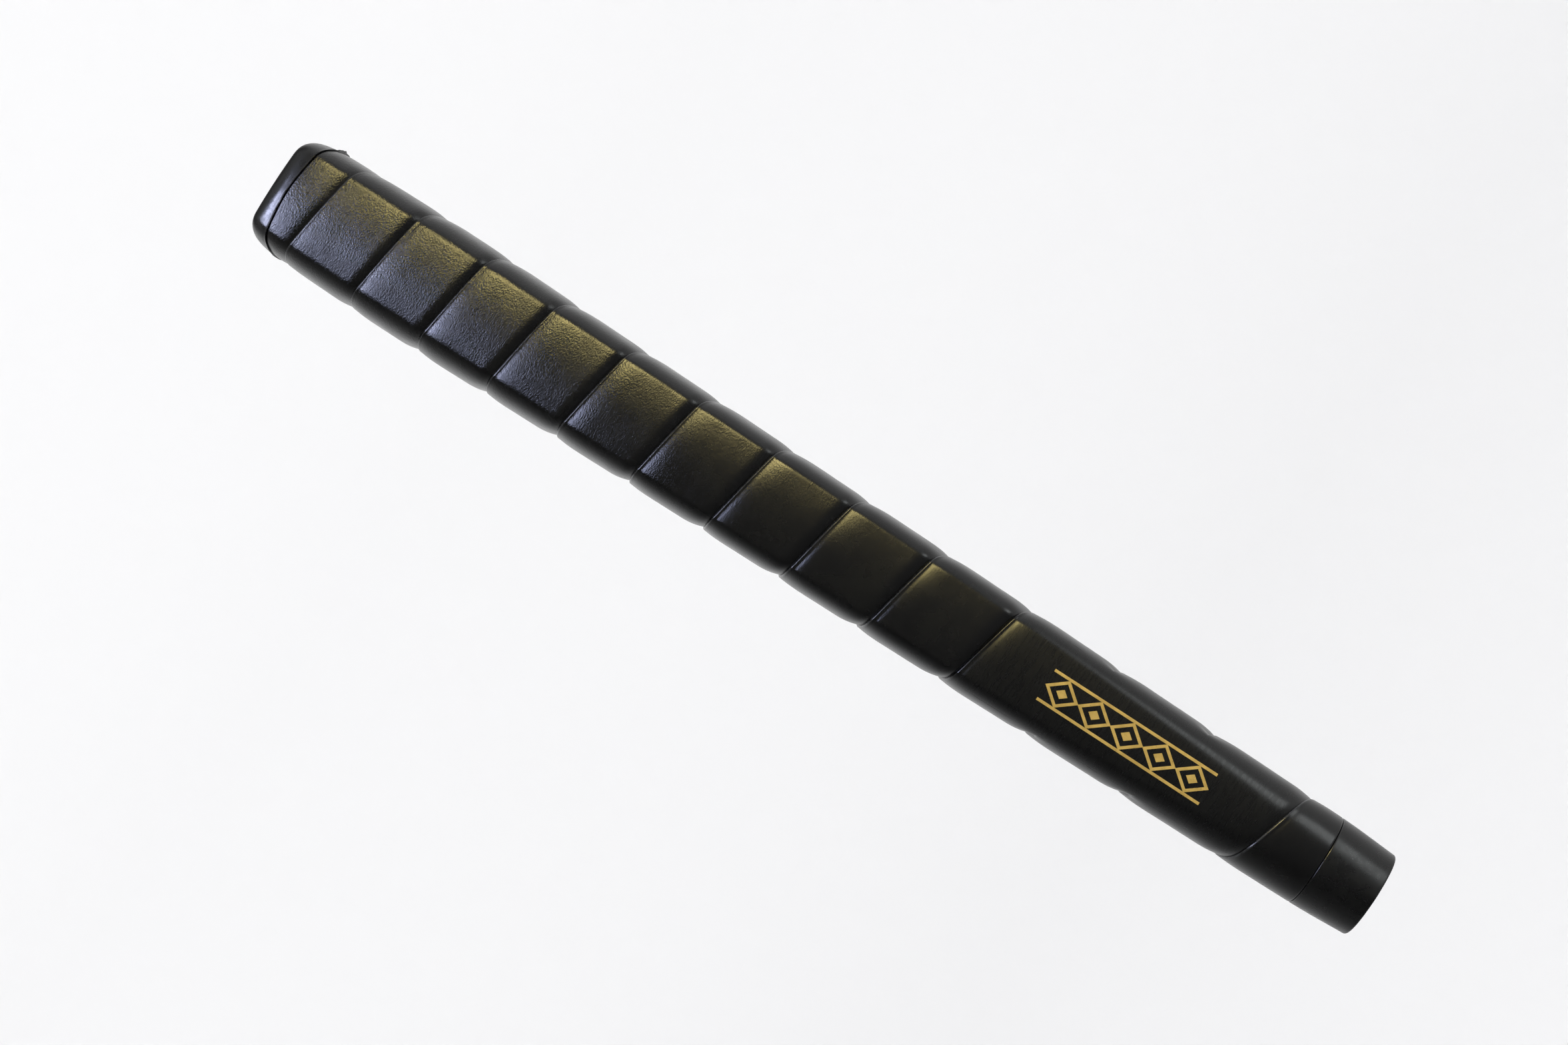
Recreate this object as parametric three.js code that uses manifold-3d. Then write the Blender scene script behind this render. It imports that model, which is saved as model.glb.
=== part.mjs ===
// A pistol-style putter grip: a rubber core sleeve with a flat front, wrapped in one spiral strip
// of leather-look skin, with a smooth front panel, a foil ornament, an end cap and a mouth collar.
// Units are millimetres. +Z runs from the butt to the mouth, the flat front faces -Y, and the
// origin is the centre of the butt face's footprint.

import * as THREE from "three";
import { mergeVertices } from "three/addons/utils/BufferGeometryUtils.js";
import Module from "manifold-3d";

const wasm = await Module();
wasm.setup();

// ---- driving dimensions ----

const LENGTH = 268.3; // butt face to mouth rim, a nominal 10.5 inch grip
const CAP_FLANGE = 5.4;
const CAP_DOME_HEIGHT = 7.5; // the cap's side is the lower part of an ellipse of this height,
const CAP_DOME_INSET = 2.8; // which comes in this far at the butt face
const COLLAR_START = 256.3;
const CLEARANCE = 0.3; // between pieces that touch

const BORE_RADIUS_BUTT = 7.6;
const BORE_RADIUS_MOUTH = 7.2;

const SKIN = 1.15; // thickness of the wrap and of the front panel
const GROOVE_DEPTH = 0.85;

// height of the spiral groove where it crosses the front: turn 0 is the first groove past the cap
const GROOVES = [
  { turn: -2, z: -22.7 },
  { turn: 0, z: 13 },
  { turn: 4, z: 84.5 },
  { turn: 9, z: 179.9 },
  { turn: 12, z: 244.8 },
  { turn: 14, z: 289.3 },
];
const FRONT_SLOWING = 0.18; // the groove runs less steeply across the front than round the back

const PANEL_FIRST_TURN = 9;
const PANEL_TURNS = 3;
const PANEL_HALF_WRAP = 0.145; // share of the perimeter, each way from the front's centre line

// outline of the grip at heights z: half width, front and back distance from the bore axis, and
// half width of the flat on the front
const STATIONS = [
  { z: 0, half: 13.9, front: 12.5, back: 14.5, flat: 7.4 },
  { z: 5.4, half: 13.55, front: 12.5, back: 14.7, flat: 8.9 },
  { z: 31.3, half: 13.8, front: 12.5, back: 15.2, flat: 8.8 },
  { z: 81.3, half: 12.9, front: 12.4, back: 13.1, flat: 8.5 },
  { z: 131.3, half: 11.95, front: 11.9, back: 11.6, flat: 8.1 },
  { z: 181.3, half: 11.1, front: 11.1, back: 10.7, flat: 7.2 },
  { z: 221.3, half: 10.35, front: 10.3, back: 10.2, flat: 5.2 },
  { z: 257.3, half: 9.75, front: 9.7, back: 9.8, flat: 1.6 },
  { z: 268.3, half: 9.1, front: 9.1, back: 9.1, flat: 0.3 },
];

const FLAT_CROWN = 0.045; // how far the flat falls away at its edges, as a share of its half width

const BORE_OFFSET_Y = (STATIONS[2].front - STATIONS[2].back) / 2; // centres the footprint on Y = 0

// ---- outline of the grip ----

const AROUND = 30; // corners of every ring round the grip
const CORNER_CROWDING = 0.5; // crowds the ring's corners where the front meets the sides

function smoothThrough(table, along, key, place) {
  // monotone cubic through the table's rows, which are in order of their value along
  const last = table.length - 1;
  let i = table.findIndex((row, n) => n < last && place <= table[n + 1][along]);
  if (i < 0) i = last - 1;
  const run = (n) => table[n + 1][along] - table[n][along];
  const slope = (n) => (table[n + 1][key] - table[n][key]) / run(n);
  const tangent = (n) => {
    if (n === 0) return slope(0);
    if (n === last) return slope(last - 1);
    const before = slope(n - 1);
    const after = slope(n);
    return before * after <= 0 ? 0 : (2 * before * after) / (before + after);
  };
  const s = Math.min(1, Math.max(0, (place - table[i][along]) / run(i)));
  const rise = s * s * (3 - 2 * s);
  const bend = tangent(i) * s * (1 - s) * (1 - s) - tangent(i + 1) * s * s * (1 - s);
  return table[i][key] * (1 - rise) + table[i + 1][key] * rise + run(i) * bend;
}

function stationValue(z, key) {
  return smoothThrough(STATIONS, "z", key, z);
}

const ELLIPSE_HANDLE = 0.5523; // share of the radius that makes a quarter ellipse
const CORNER_HANDLE = 0.78; // rounds the edge of the flat, as a share of what is left of the half width
const SIDE_HANDLE = 0.5; // rounds the side, as a share of the front distance

function outlineCurve(z) {
  // starts at the middle of the front and goes round by -X, the back and +X
  const half = stationValue(z, "half");
  const front = stationValue(z, "front");
  const back = stationValue(z, "back");
  const flat = stationValue(z, "flat");
  const edge = FLAT_CROWN * flat - front;
  const turnIn = CORNER_HANDLE * (half - flat);
  const face = (side) => [
    new THREE.Vector2(0, -front),
    new THREE.Vector2((side * flat) / 2, -front),
    new THREE.Vector2(side * flat, edge),
  ];
  const corner = (side) => [
    new THREE.Vector2(side * flat, edge),
    new THREE.Vector2(side * (flat + turnIn), edge + 2 * FLAT_CROWN * turnIn),
    new THREE.Vector2(side * half, -SIDE_HANDLE * front),
    new THREE.Vector2(side * half, 0),
  ];
  const rear = (side) => [
    new THREE.Vector2(side * half, 0),
    new THREE.Vector2(side * half, ELLIPSE_HANDLE * back),
    new THREE.Vector2(side * ELLIPSE_HANDLE * half, back),
    new THREE.Vector2(0, back),
  ];
  const path = new THREE.CurvePath();
  path.add(new THREE.QuadraticBezierCurve(...face(-1)));
  path.add(new THREE.CubicBezierCurve(...corner(-1)));
  path.add(new THREE.CubicBezierCurve(...rear(-1)));
  path.add(new THREE.CubicBezierCurve(...rear(1).reverse()));
  path.add(new THREE.CubicBezierCurve(...corner(1).reverse()));
  path.add(new THREE.QuadraticBezierCurve(...face(1).reverse()));
  return path;
}

const SAMPLES = 16; // straight pieces in each curve of the outline while it is measured
const outlines = new Map();

function outlineAt(z) {
  const key = z.toFixed(4);
  if (!outlines.has(key)) {
    const points = [];
    for (const curve of outlineCurve(z).curves) {
      points.push(...curve.getPoints(SAMPLES).slice(0, -1));
    }
    points.push(points[0]);
    const lengths = [0];
    for (let i = 1; i < points.length; i += 1) {
      lengths.push(lengths[i - 1] + points[i].distanceTo(points[i - 1]));
    }
    outlines.set(key, { points, lengths });
  }
  return outlines.get(key);
}

function outlinePoint(z, share, inset) {
  // the point at that share of the perimeter, moved inwards by inset
  const { points, lengths } = outlineAt(z);
  const target = (share - Math.floor(share)) * lengths[lengths.length - 1];
  let i = 1;
  while (i < lengths.length - 1 && lengths[i] < target) i += 1;
  const local = (target - lengths[i - 1]) / (lengths[i] - lengths[i - 1]);
  const spot = points[i - 1].clone().lerp(points[i], local);
  const count = points.length - 1;
  const before = points[(i - 2 + count) % count];
  const after = points[(i + 1) % count];
  const chordIn = points[i].clone().sub(before).normalize();
  const chordOut = after.clone().sub(points[i - 1]).normalize();
  const along = chordIn.lerp(chordOut, local).normalize();
  return new THREE.Vector3(spot.x + along.y * inset, spot.y - along.x * inset, z);
}

function ringShare(n) {
  const even = n / AROUND;
  return even + (CORNER_CROWDING * Math.sin(6 * Math.PI * even)) / (6 * Math.PI);
}

function outlineRing(z, inset) {
  return Array.from({ length: AROUND }, (_, n) => outlinePoint(z, ringShare(n), inset));
}

function roundRing(z, radius) {
  // a circle about the bore axis, its corners in line with the outline's
  return outlineRing(z, 0).map((p) => {
    const angle = Math.atan2(p.y, p.x);
    return new THREE.Vector3(radius * Math.cos(angle), radius * Math.sin(angle), z);
  });
}

function boreRadius(z) {
  return BORE_RADIUS_BUTT + ((BORE_RADIUS_MOUTH - BORE_RADIUS_BUTT) * z) / LENGTH;
}

// ---- closed meshes from rings of points ----

function faceted(points, faces) {
  const geometry = new THREE.BufferGeometry();
  const corners = faces.flat().flatMap((n) => points[n].toArray());
  geometry.setAttribute("position", new THREE.Float32BufferAttribute(corners, 3));
  return geometry;
}

function turnedOutwards(points, faces) {
  let volume = 0;
  for (const [a, b, c] of faces) {
    volume += points[a].dot(points[b].clone().cross(points[c]));
  }
  return volume < 0 ? faces.map(([a, b, c]) => [a, c, b]) : faces;
}

function ringFaces(rows, columns, joinRows) {
  // quads between neighbouring rows, each row closed on itself
  const faces = [];
  const rowCount = joinRows ? rows : rows - 1;
  for (let r = 0; r < rowCount; r += 1) {
    const next = (r + 1) % rows;
    for (let c = 0; c < columns; c += 1) {
      const d = (c + 1) % columns;
      const [a, b, e, f] = [r * columns + c, r * columns + d, next * columns + d, next * columns + c];
      faces.push([a, b, e], [a, e, f]);
    }
  }
  return faces;
}

function hollowBody(rings) {
  // rings follow each other round the wall's section, and the last joins the first
  const points = rings.flat();
  const faces = ringFaces(rings.length, rings[0].length, true);
  return faceted(points, turnedOutwards(points, faces));
}

function sweptBody(sections) {
  // the same section carried along a path, closed by a fan at each end
  const points = sections.flat();
  const columns = sections[0].length;
  const faces = ringFaces(sections.length, columns, false);
  const last = points.length - columns;
  for (let c = 1; c < columns - 1; c += 1) {
    faces.push([0, c + 1, c], [last, last + c, last + c + 1]);
  }
  return faceted(points, turnedOutwards(points, faces));
}

// ---- joins and cuts ----

function toSolid(geometry) {
  const bare = new THREE.BufferGeometry();
  bare.setAttribute("position", geometry.getAttribute("position").clone());
  if (geometry.index) bare.setIndex(geometry.index.clone());
  const merged = mergeVertices(bare, 1e-5);
  return new wasm.Manifold(
    new wasm.Mesh({
      numProp: 3,
      vertProperties: new Float32Array(merged.getAttribute("position").array),
      triVerts: new Uint32Array(merged.index.array),
    }),
  );
}

function toGeometry(solid) {
  const mesh = solid.getMesh();
  const geometry = new THREE.BufferGeometry();
  geometry.setAttribute("position", new THREE.BufferAttribute(mesh.vertProperties, 3));
  geometry.setIndex(new THREE.BufferAttribute(mesh.triVerts, 1));
  return geometry;
}

// ---- spiral wrap ----

const WRAP_START = CAP_FLANGE + CLEARANCE;
const WRAP_END = COLLAR_START - CLEARANCE;

function grooveHeight(turn) {
  return smoothThrough(GROOVES, "turn", "z", turn);
}

function turnAt(winding) {
  // winding counts the trips round the outline, and turn counts the groove's, slower at the front
  return winding - (FRONT_SLOWING * Math.sin(2 * Math.PI * winding)) / (2 * Math.PI);
}

// height profile across the strip: share of its width, and depth below the grip's outline
const EDGE_GAP = 0.008;
const STRIP_PROFILE = [
  { across: EDGE_GAP, depth: 0.55 },
  { across: 0.03, depth: 0.33 },
  { across: 0.15, depth: 0.1 },
  { across: 0.35, depth: 0 },
  { across: 0.8, depth: 0.06 },
  { across: 1 - EDGE_GAP, depth: GROOVE_DEPTH },
];

function stripSection(winding, width, profile) {
  const turn = turnAt(winding);
  const place = ({ across, depth }) => {
    const height = grooveHeight(turn + across * width);
    const point = outlinePoint(Math.min(LENGTH, Math.max(0, height)), winding, depth);
    point.z = height;
    return point;
  };
  const outside = profile.map(place);
  const inside = profile.map(({ across }) => place({ across, depth: SKIN })).reverse();
  return [...outside, ...inside];
}

const NEAREST = 0.1; // share of the ring's step that is too close to an end of the strip

function windings(from, to) {
  // the ring corners' places between two windings, with both ends
  const places = [from];
  const margin = NEAREST / AROUND;
  for (let n = Math.floor(from) * AROUND; n <= Math.ceil(to) * AROUND; n += 1) {
    const place = Math.floor(n / AROUND) + ringShare(((n % AROUND) + AROUND) % AROUND);
    if (place > from + margin && place < to - margin) places.push(place);
  }
  places.push(to);
  return places;
}

function stripBetween(from, to) {
  return sweptBody(windings(from, to).map((w) => stripSection(w, 1, STRIP_PROFILE)));
}

function slab(bottom, top) {
  const width = 4 * STATIONS[0].half;
  const box = new THREE.BoxGeometry(width, width, top - bottom);
  box.translate(0, 0, (bottom + top) / 2);
  return toSolid(box);
}

const wrapSpan = slab(WRAP_START, WRAP_END);
const BEFORE_CAP = -1.5; // windings at which the strip is wholly outside the wrapped span
const PAST_COLLAR = 13.1;

const PERIMETER_AT_PANEL = 62;
const SIDE_GAP = CLEARANCE / PERIMETER_AT_PANEL;
const PANEL_SIDE = PANEL_HALF_WRAP + SIDE_GAP;

function wrapMain() {
  const strip = stripBetween(BEFORE_CAP, PANEL_FIRST_TURN - PANEL_SIDE);
  return toGeometry(toSolid(strip).intersect(wrapSpan));
}

function wrapBand(turn) {
  return stripBetween(turn + PANEL_SIDE, turn + 1 - PANEL_SIDE);
}

function wrapTail() {
  const strip = stripBetween(PANEL_FIRST_TURN + PANEL_TURNS - 1 + PANEL_SIDE, PAST_COLLAR);
  return toGeometry(toSolid(strip).intersect(wrapSpan));
}

const PANEL_FACE = [0.7, 1.2, 1.7, 2.2, 2.6]; // turns across the panel where its face is level

function frontPanel() {
  // the strip's own edges, with an even face between them
  const lip = STRIP_PROFILE.filter(({ across }) => across < 0.5);
  const fall = STRIP_PROFILE.filter(({ across }) => across > 0.5);
  const profile = [
    ...lip.map(({ across, depth }) => ({ across: across / PANEL_TURNS, depth })),
    ...PANEL_FACE.map((turn) => ({ across: turn / PANEL_TURNS, depth: 0 })),
    ...fall.map(({ across, depth }) => ({ across: 1 - (1 - across) / PANEL_TURNS, depth })),
  ];
  const sides = [PANEL_FIRST_TURN - PANEL_HALF_WRAP, PANEL_FIRST_TURN + PANEL_HALF_WRAP];
  return sweptBody(windings(...sides).map((w) => stripSection(w, PANEL_TURNS, profile)));
}

// ---- core sleeve, end cap and collar ----

const SPIGOT_LENGTH = 6;
const SPIGOT_WALL = 0.8;
const CORE_INSET = SKIN + CLEARANCE;
const CORE_STEPS = 18; // rings along the sleeve

function coreSleeve() {
  const low = CAP_FLANGE + CLEARANCE;
  const high = COLLAR_START - CLEARANCE;
  const tip = high + SPIGOT_LENGTH;
  const rings = [];
  for (let n = 0; n <= CORE_STEPS; n += 1) {
    rings.push(outlineRing(low + ((high - low) * n) / CORE_STEPS, CORE_INSET));
  }
  rings.push(roundRing(high, boreRadius(high) + SPIGOT_WALL));
  rings.push(roundRing(tip, boreRadius(tip) + SPIGOT_WALL));
  rings.push(roundRing(tip, boreRadius(tip)));
  rings.push(roundRing(low, boreRadius(low)));
  return hollowBody(rings);
}

const STEM_LENGTH = 11;
const STEM_PLAY = 0.3;
const BARB_HEIGHT = 0.7;
const BARBS = 3;
const BARB_RISE = 0.3; // height of a barb's steep lower side, and of the whole barb
const BARB_RUN = 1.7;
const STEM_FLOOR = 1; // thickness left under the stem's cup
const VENT_RADIUS = 1.3;
const STEM_CUP_RADIUS = 4.6;
const EDGE_STEPS = 5; // rings over the rounded butt edge

function endCap() {
  const rings = [roundRing(0, VENT_RADIUS)];
  const seamAngle = Math.acos(1 - CAP_FLANGE / CAP_DOME_HEIGHT);
  for (let n = 0; n <= EDGE_STEPS; n += 1) {
    const angle = (n / EDGE_STEPS) * seamAngle;
    const inset = CAP_DOME_INSET * (1 - Math.sin(angle));
    rings.push(outlineRing(CAP_DOME_HEIGHT * (1 - Math.cos(angle)), inset));
  }
  const stem = boreRadius(CAP_FLANGE) - STEM_PLAY;
  rings.push(roundRing(CAP_FLANGE, stem - BARB_HEIGHT));
  for (let n = 0; n < BARBS; n += 1) {
    const z = CAP_FLANGE + (STEM_LENGTH * (n + 0.5)) / BARBS;
    rings.push(roundRing(z, stem - BARB_HEIGHT));
    rings.push(roundRing(z + BARB_RISE, stem));
    rings.push(roundRing(z + BARB_RUN, stem - BARB_HEIGHT));
  }
  const top = CAP_FLANGE + STEM_LENGTH;
  rings.push(roundRing(top, stem - BARB_HEIGHT));
  rings.push(roundRing(top, STEM_CUP_RADIUS));
  rings.push(roundRing(CAP_FLANGE + STEM_FLOOR, STEM_CUP_RADIUS));
  rings.push(roundRing(CAP_FLANGE + STEM_FLOOR, VENT_RADIUS));
  return hollowBody(rings);
}

const RIM_CHAMFER = 0.25;
const COLLAR_STEPS = 4; // rings along the collar

function mouthCollar() {
  const seat = COLLAR_START + SPIGOT_LENGTH;
  const socket = boreRadius(seat) + SPIGOT_WALL + CLEARANCE;
  const straight = LENGTH - RIM_CHAMFER - COLLAR_START;
  const rings = [];
  for (let n = 0; n <= COLLAR_STEPS; n += 1) {
    rings.push(outlineRing(COLLAR_START + (straight * n) / COLLAR_STEPS, 0));
  }
  rings.push(outlineRing(LENGTH, RIM_CHAMFER));
  rings.push(roundRing(LENGTH, boreRadius(LENGTH)));
  rings.push(roundRing(seat, boreRadius(seat)));
  rings.push(roundRing(seat, socket));
  rings.push(roundRing(COLLAR_START, socket));
  return hollowBody(rings);
}

// ---- foil ornament: lozenges between two rules ----

const FOIL = { thickness: 0.12, lift: 0.05, start: 194.1, length: 37, width: 7.2, rule: 0.6 };
const LOZENGES = 5;
const LOZENGE_OVERLAP = 0.15; // joins each lozenge to the rules and to the next lozenge

function plate(corners) {
  const shape = new THREE.Shape(corners.map(([x, y]) => new THREE.Vector2(x, y)));
  return toSolid(new THREE.ExtrudeGeometry(shape, { depth: FOIL.thickness, bevelEnabled: false }));
}

function foilOrnament() {
  const reach = FOIL.width / 2;
  const inner = reach - FOIL.rule;
  let solid = null;
  for (const side of [-1, 1]) {
    const [near, far] = [side * inner, side * reach].sort((a, b) => a - b);
    const rule = plate([[near, 0], [far, 0], [far, FOIL.length], [near, FOIL.length]]);
    solid = solid ? solid.add(rule) : rule;
  }
  const step = FOIL.length / LOZENGES;
  for (let n = 0; n < LOZENGES; n += 1) {
    const y = step * (n + 0.5);
    const half = step / 2 + LOZENGE_OVERLAP;
    const out = inner + LOZENGE_OVERLAP;
    solid = solid.add(plate([[0, y - half], [out, y], [0, y + half], [-out, y]]));
  }
  return toGeometry(solid);
}

// ---- the assembly ----

const rubber = { color: 0x191817, roughness: 0.62, metalness: 0 };
const leather = { color: 0x1b1a18, roughness: 0.45, metalness: 0 };
const smooth = { color: 0x151412, roughness: 0.38, metalness: 0 };
const underlisting = { color: 0x242322, roughness: 0.8, metalness: 0 };
const gold = { color: 0xcf9f48, roughness: 0.35, metalness: 0.8 };

function piece(name, geometry, look) {
  geometry.computeVertexNormals();
  const mesh = new THREE.Mesh(geometry, new THREE.MeshStandardMaterial(look));
  mesh.name = name;
  return mesh;
}

const group = new THREE.Group();
group.position.y = BORE_OFFSET_Y;
group.add(piece("end_cap", endCap(), rubber));
group.add(piece("core_sleeve", coreSleeve(), underlisting));
group.add(piece("wrap_main", wrapMain(), leather));
for (let n = 1; n < PANEL_TURNS; n += 1) {
  group.add(piece(`wrap_band_${n}`, wrapBand(PANEL_FIRST_TURN + n - 1), leather));
}
group.add(piece("wrap_tail", wrapTail(), leather));
group.add(piece("front_panel", frontPanel(), smooth));
group.add(piece("mouth_collar", mouthCollar(), rubber));

const foil = piece("foil_ornament", foilOrnament(), gold);
const foilFront = stationValue(FOIL.start, "front");
const foilFall = foilFront - stationValue(FOIL.start + FOIL.length, "front");
foil.rotation.x = Math.PI / 2 - Math.atan2(foilFall, FOIL.length);
foil.position.set(0, -foilFront - FOIL.lift, FOIL.start);
group.add(foil);

export default group;
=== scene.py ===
import math

import bpy
import numpy as np
from mathutils import Matrix, Vector


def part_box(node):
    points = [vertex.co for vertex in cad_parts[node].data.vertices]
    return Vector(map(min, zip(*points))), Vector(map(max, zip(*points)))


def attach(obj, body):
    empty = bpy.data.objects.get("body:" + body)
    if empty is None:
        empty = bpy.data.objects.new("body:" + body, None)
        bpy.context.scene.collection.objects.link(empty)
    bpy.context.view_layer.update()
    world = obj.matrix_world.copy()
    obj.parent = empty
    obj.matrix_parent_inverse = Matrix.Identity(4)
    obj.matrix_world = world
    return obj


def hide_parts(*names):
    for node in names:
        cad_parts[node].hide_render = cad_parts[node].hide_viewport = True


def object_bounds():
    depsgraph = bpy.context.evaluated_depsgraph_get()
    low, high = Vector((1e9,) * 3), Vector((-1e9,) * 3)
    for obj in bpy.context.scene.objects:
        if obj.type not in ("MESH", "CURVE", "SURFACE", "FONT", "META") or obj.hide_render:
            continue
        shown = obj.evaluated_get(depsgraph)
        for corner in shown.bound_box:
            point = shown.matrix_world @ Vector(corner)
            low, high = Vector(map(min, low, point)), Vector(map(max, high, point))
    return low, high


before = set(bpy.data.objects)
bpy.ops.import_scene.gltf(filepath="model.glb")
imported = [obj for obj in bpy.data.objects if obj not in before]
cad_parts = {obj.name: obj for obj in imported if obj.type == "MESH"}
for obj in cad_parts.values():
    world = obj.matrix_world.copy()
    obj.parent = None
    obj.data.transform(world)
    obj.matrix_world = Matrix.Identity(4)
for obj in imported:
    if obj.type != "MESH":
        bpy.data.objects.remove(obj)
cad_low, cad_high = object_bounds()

# A black leather-look putter grip, upright with its butt cap down and held clear of a pale floor.
# Blender works in metres. The outline and the wrap are worked out in millimetres, in the CAD part's
# own frame, and scaled when they are meshed. A share is a place round the perimeter: 0 in the middle
# of the flat front, then by -X, the back and +X to 1. A winding is a place along the spiral wrap: its
# whole turns, and its share within the turn.
MM = 0.001
SEED = 7

# ---- the CAD part's driving dimensions, in millimetres ----

LENGTH = cad_high.z / MM
COLLAR_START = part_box("mouth_collar")[0].z / MM
CAP_FLANGE = 5.4
CAP_DOME_HEIGHT = 7.5
CAP_DOME_INSET = 2.8
SKIN = 1.15
GROOVE_DEPTH = 0.85
BORE_RADIUS_BUTT = 7.6
BORE_RADIUS_MOUTH = 7.2

STATIONS = {
    "z": [0, 5.4, 31.3, 81.3, 131.3, 181.3, 221.3, 257.3, 268.3],
    "half": [13.9, 13.55, 13.8, 12.9, 11.95, 11.1, 10.35, 9.75, 9.1],
    "front": [12.5, 12.5, 12.5, 12.4, 11.9, 11.1, 10.3, 9.7, 9.1],
    "back": [14.5, 14.7, 15.2, 13.1, 11.6, 10.7, 10.2, 9.8, 9.1],
    "flat": [7.4, 8.9, 8.8, 8.5, 8.1, 7.2, 5.2, 1.6, 0.3],
}
FLAT_CROWN = 0.045
CORNER_HANDLE = 0.78
SIDE_HANDLE = 0.5
ELLIPSE_HANDLE = 0.5523
BORE_Y = (STATIONS["front"][2] - STATIONS["back"][2]) / 2
GROOVES = {"turn": [-2, 0, 4, 9, 12, 14], "z": [-22.7, 13, 84.5, 179.9, 244.8, 289.3]}
PITCH_BEFORE = 17.5       # of the spiral below its first tabled turn
PITCH_AFTER = 22          # and beyond its last
FRONT_SLOWING = 0.18
WRAP_FIRST = -1.5         # windings between which the wrap is looked for
WRAP_LAST = 13.1
PANEL_FIRST_TURN = 9
PANEL_TURNS = 3
PANEL_HALF_WRAP = 0.145
CLEARANCE = 0.3
SPIGOT_LENGTH = 6
SPIGOT_WALL = 0.8
STEM_LENGTH = 11
STEM_PLAY = 0.3
STEM_FLOOR = 1
BARB_HEIGHT = 0.7
BARBS = 3
VENT_RADIUS = 1.3
STEM_CUP_RADIUS = 4.6
RIM_ROUND = 0.3
FOIL_START = 194.1
FOIL_LENGTH = 37
FOIL_WIDTH = 7.2
FOIL_RULE = 0.6
LOZENGES = 5
LOZENGE_OVERLAP = 0.1


# ---- curves and noise ----

NOISE_CELLS = 128


def ease(x):
    """0 below 0, 1 above 1 and a smooth rise between."""
    x = np.clip(x, 0, 1)
    return x * x * (3 - 2 * x)


def hump(x, centre, width):
    return np.exp(-(((x - centre) / width) ** 2))


def slope_off(distance, reach, power):
    """1 at an edge, falling to 0 at its reach."""
    return np.clip(1 - distance / reach, 0, 1) ** power


def smooth_through(xs, ys, x):
    """Monotone cubic through the points, the CAD part's own rule, for an array of places x."""
    xs, ys = np.asarray(xs, float), np.asarray(ys, float)
    slope = np.diff(ys) / np.diff(xs)
    tangent = np.empty(len(xs))
    tangent[0], tangent[-1] = slope[0], slope[-1]
    before, after = slope[:-1], slope[1:]
    same_way = before * after > 0
    total = np.where(same_way, before + after, 1)
    tangent[1:-1] = np.where(same_way, 2 * before * after / total, 0)
    i = np.clip(np.searchsorted(xs, x) - 1, 0, len(xs) - 2)
    run = xs[i + 1] - xs[i]
    s = np.clip((x - xs[i]) / run, 0, 1)
    bend = tangent[i] * s * (1 - s) ** 2 - tangent[i + 1] * s * s * (1 - s)
    return ys[i] * (1 - ease(s)) + ys[i + 1] * ease(s) + run * bend


def smooth_noise(u, v, seed):
    """Smooth noise from -1 to 1 over the plane, one cell to the unit, the same on every run."""
    lattice = np.random.default_rng(SEED + seed).uniform(-1, 1, (NOISE_CELLS, NOISE_CELLS))
    iu, iv = np.floor(u).astype(int), np.floor(v).astype(int)
    fu, fv = ease(u - iu), ease(v - iv)

    def corner(du, dv):
        return lattice[(iu + du) % NOISE_CELLS, (iv + dv) % NOISE_CELLS]

    low = corner(0, 0) * (1 - fu) + corner(1, 0) * fu
    high = corner(0, 1) * (1 - fu) + corner(1, 1) * fu
    return low * (1 - fv) + high * fv


def bezier(points, count):
    t = np.linspace(0, 1, count, endpoint=False)[:, None]
    p = [np.asarray(q, float) for q in points]
    if len(p) == 3:
        return (1 - t) ** 2 * p[0] + 2 * (1 - t) * t * p[1] + t * t * p[2]
    ends = (1 - t) ** 3 * p[0] + t ** 3 * p[3]
    return ends + 3 * (1 - t) ** 2 * t * p[1] + 3 * (1 - t) * t * t * p[2]


# ---- outline of the grip, tabled over height and share of the perimeter ----

Z_STEP = 0.5
SHARES = 1440
CURVE_STEPS = 80
SEAM_RISE = 0.75          # the cap's seam rises at the corners of the front
SEAM_RISE_SHARE = 0.17
SEAM_RISE_WIDTH = 0.06
SEAM_DIP = 0.8            # and dips towards the butt in the middle
SEAM_DIP_WIDTH = 0.085
SEAM_REACH = 3.9          # millimetres above and below the seam that bend with it


def outline(half, front, back, flat):
    """Closed outline about the bore axis, from the middle of the front by -X, the back and +X."""
    edge = FLAT_CROWN * flat - front
    turn_in = CORNER_HANDLE * (half - flat)

    def face(side):
        return [(0, -front), (side * flat / 2, -front), (side * flat, edge)]

    def corner(side):
        return [
            (side * flat, edge),
            (side * (flat + turn_in), edge + 2 * FLAT_CROWN * turn_in),
            (side * half, -SIDE_HANDLE * front),
            (side * half, 0),
        ]

    def rear(side):
        return [
            (side * half, 0),
            (side * half, ELLIPSE_HANDLE * back),
            (side * ELLIPSE_HANDLE * half, back),
            (0, back),
        ]

    curves = [face(-1), corner(-1), rear(-1), rear(1)[::-1], corner(1)[::-1], face(1)[::-1]]
    points = np.vstack([bezier(c, CURVE_STEPS) for c in curves])
    return np.vstack([points, points[:1]])


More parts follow.
